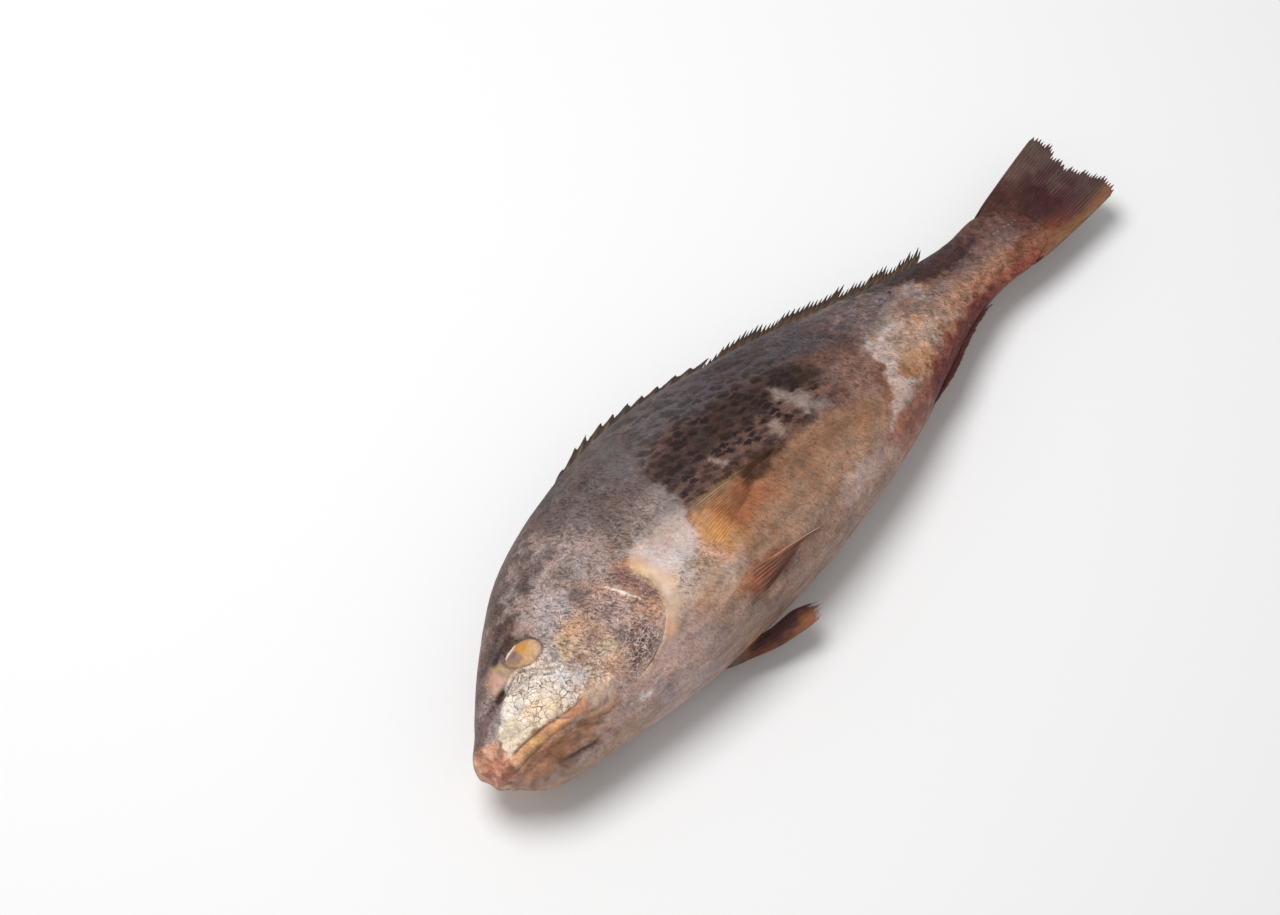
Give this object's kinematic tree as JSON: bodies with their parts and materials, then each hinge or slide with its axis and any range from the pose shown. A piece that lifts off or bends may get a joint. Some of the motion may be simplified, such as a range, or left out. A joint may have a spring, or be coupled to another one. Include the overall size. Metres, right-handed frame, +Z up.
{
  "type": "dried croaker",
  "caption": "Whole dried croaker lying on its right flank, with blunt head, gill covers, folded fins and spread tail; a stiff piece of preserved fish.",
  "frame": {"origin": "middle of the flat spot on the right flank that the fish rests on", "axes": "+X to the tail along the fish, +Y to the back, +Z up out of the left flank"},
  "size_m": [0.337, 0.1088, 0.0542],
  "materials": {
    "dried_skin": "satin",
    "fin_rays": "satin",
    "eye": "satin"
  },
  "bodies": {
    "root": {"croaker": "dried_skin"}
  },
  "joints": []
}
